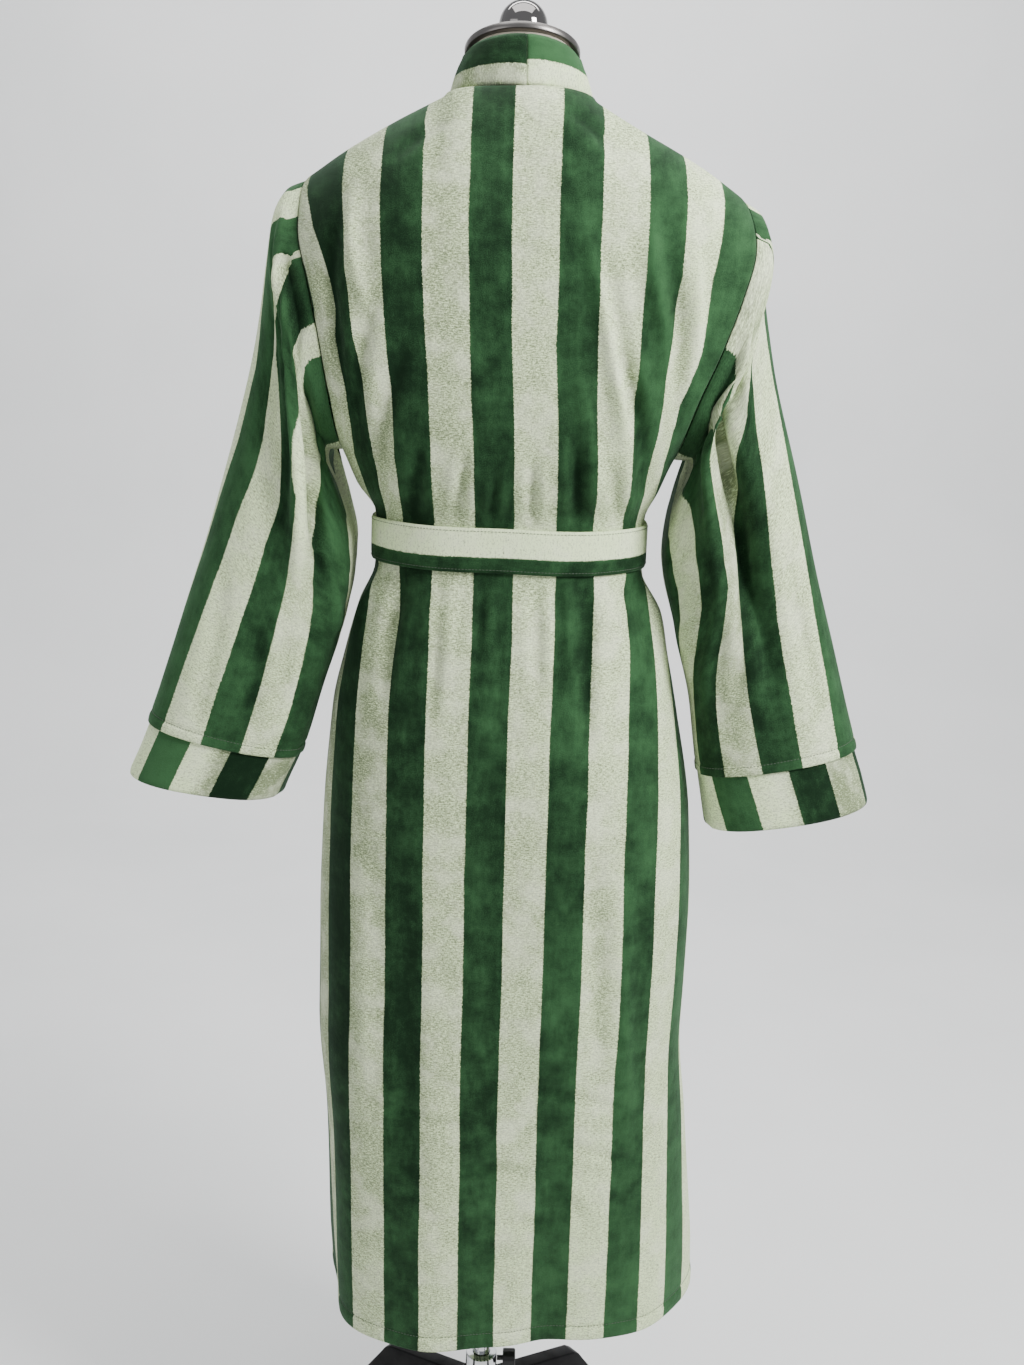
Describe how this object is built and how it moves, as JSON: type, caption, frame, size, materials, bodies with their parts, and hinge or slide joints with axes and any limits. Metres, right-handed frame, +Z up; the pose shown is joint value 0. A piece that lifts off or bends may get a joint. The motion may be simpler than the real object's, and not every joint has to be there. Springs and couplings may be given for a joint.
{
  "type": "kimono robe on limbless dress form stand",
  "caption": "Full-length striped velvet kimono robe with standing neckband, drop-shoulder sleeves, deep cuff bands and a tied belt, worn by a limbless dress form on a pole stand.",
  "frame": {"origin": "on the floor, on the pole's axis, at the middle of the base", "axes": "+Z up, +Y towards the back of the robe, +X towards the wearer's left"},
  "size_m": [0.7797, 0.3468, 1.7215],
  "materials": {
    "robe_velvet": "matte",
    "form_linen": "matte",
    "cap_metal": "satin",
    "chrome": "polished",
    "black_metal": "satin",
    "black_plastic": "satin",
    "foot_rubber": "matte"
  },
  "bodies": {
    "base": {"outer_tube": "chrome", "tube_collar": "chrome", "leg_hub": "black_metal", "leg_front_left": "black_metal", "leg_front_right": "black_metal", "leg_back_left": "black_metal", "leg_back_right": "black_metal", "foot_front_left": "foot_rubber", "foot_front_right": "foot_rubber", "foot_back_left": "foot_rubber", "foot_back_right": "foot_rubber"},
    "mast": {"inner_pole": "chrome", "form_flange": "black_metal", "form_torso": "form_linen", "neck_cap": "cap_metal", "ball_finial": "chrome", "back_panel": "robe_velvet", "front_left": "robe_velvet", "front_right": "robe_velvet", "sleeve_left": "robe_velvet", "sleeve_right": "robe_velvet", "cuff_left": "robe_velvet", "cuff_right": "robe_velvet", "neckband_left": "robe_velvet", "neckband_right": "robe_velvet", "belt_band": "robe_velvet", "belt_knot": "robe_velvet", "belt_tail_long": "robe_velvet", "belt_tail_short": "robe_velvet"},
    "knob": {"height_knob": "black_plastic"}
  },
  "joints": [
    {"name": "height_slide", "type": "slide", "parent": "base", "child": "mast", "axis": [0, 0, 1], "range_m": [0, 0.12]},
    {"name": "knob_turn", "type": "hinge", "parent": "base", "child": "knob", "pos_m": [-0.01885, 0, 0.213], "axis": [-1, 0, 0], "continuous": true}
  ]
}
